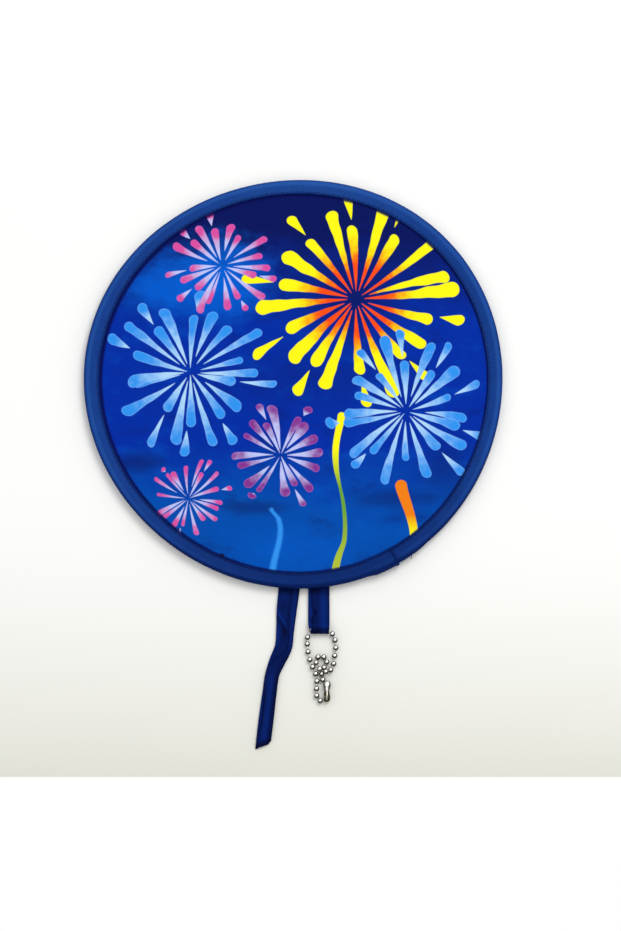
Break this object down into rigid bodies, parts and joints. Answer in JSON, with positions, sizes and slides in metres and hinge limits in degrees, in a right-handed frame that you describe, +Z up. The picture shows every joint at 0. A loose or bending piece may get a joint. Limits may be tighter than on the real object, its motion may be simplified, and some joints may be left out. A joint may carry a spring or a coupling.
{
  "type": "folding fan",
  "caption": "Round pop-up hand fan: a printed cloth disc on a folding steel hoop, with a closing strap and a hanging strap that holds a ball chain.",
  "frame": {"origin": "on the ground under the middle of the whole part's bounding box, the fan lying open on its back with the print up", "axes": "+Z up out of the printed face, +Y from the straps to the far side of the rim, +X to the right seen from above with the straps towards the viewer"},
  "size_m": [0.24, 0.3328, 0.007],
  "materials": {
    "panel_cloth": "printed thin satin cloth",
    "binding_tape": "navy woven tape",
    "strap_tape": "blue woven tape",
    "spring_steel": "bare spring steel",
    "bright_plating": "bright nickel plating"
  },
  "bodies": {
    "lower_half": {"panel_lower": "panel_cloth", "binding_lower": "binding_tape", "hoop_left_arc": "spring_steel", "hoop_right_arc": "spring_steel", "hoop_ferrule": "spring_steel"},
    "upper_half": {"panel_upper": "panel_cloth", "binding_upper": "binding_tape", "hoop_top_arc": "spring_steel"},
    "long_strap": {"long_strap": "strap_tape"},
    "short_strap": {"short_strap": "strap_tape"},
    "chain": {"chain_bead_01": "bright_plating", "chain_bead_02": "bright_plating", "chain_bead_03": "bright_plating", "chain_bead_04": "bright_plating", "chain_bead_05": "bright_plating", "chain_bead_06": "bright_plating", "chain_bead_07": "bright_plating", "chain_bead_08": "bright_plating", "chain_bead_09": "bright_plating", "chain_bead_10": "bright_plating", "chain_bead_11": "bright_plating", "chain_bead_12": "bright_plating", "chain_bead_13": "bright_plating", "chain_bead_14": "bright_plating", "chain_bead_15": "bright_plating", "chain_bead_16": "bright_plating", "chain_bead_17": "bright_plating", "chain_bead_18": "bright_plating", "chain_bead_19": "bright_plating", "chain_bead_20": "bright_plating", "chain_bead_21": "bright_plating", "chain_bead_22": "bright_plating", "chain_bead_23": "bright_plating", "chain_bead_24": "bright_plating", "chain_bead_25": "bright_plating", "chain_bead_26": "bright_plating", "chain_bead_27": "bright_plating", "chain_bead_28": "bright_plating", "chain_bead_29": "bright_plating", "chain_bead_30": "bright_plating"},
    "connector": {"chain_connector": "bright_plating"}
  },
  "joints": [
    {"name": "hoop_fold", "type": "hinge", "parent": "lower_half", "child": "upper_half", "pos_m": [0, 0.04636, 0.006], "axis": [1, 0, 0], "range_deg": [0, 150], "stiffness_Nm_per_rad": 0.05},
    {"name": "long_strap_swing", "type": "hinge", "parent": "lower_half", "child": "long_strap", "pos_m": [0, -0.06614, 0.00055], "axis": [1, 0, 0], "range_deg": [0, 170]},
    {"name": "short_strap_swing", "type": "hinge", "parent": "lower_half", "child": "short_strap", "pos_m": [0.0137, -0.06614, 0.00055], "axis": [1, 0, 0], "range_deg": [0, 120]},
    {"name": "chain_swing", "type": "hinge", "parent": "short_strap", "child": "chain", "pos_m": [0.0137, -0.09794, 0.0022], "axis": [1, 0, 0], "range_deg": [-90, 90]},
    {"name": "connector_release", "type": "hinge", "parent": "chain", "child": "connector", "pos_m": [0.01829, -0.12926, 0.00201], "axis": [0, 0, 1], "range_deg": [0, 60]}
  ]
}
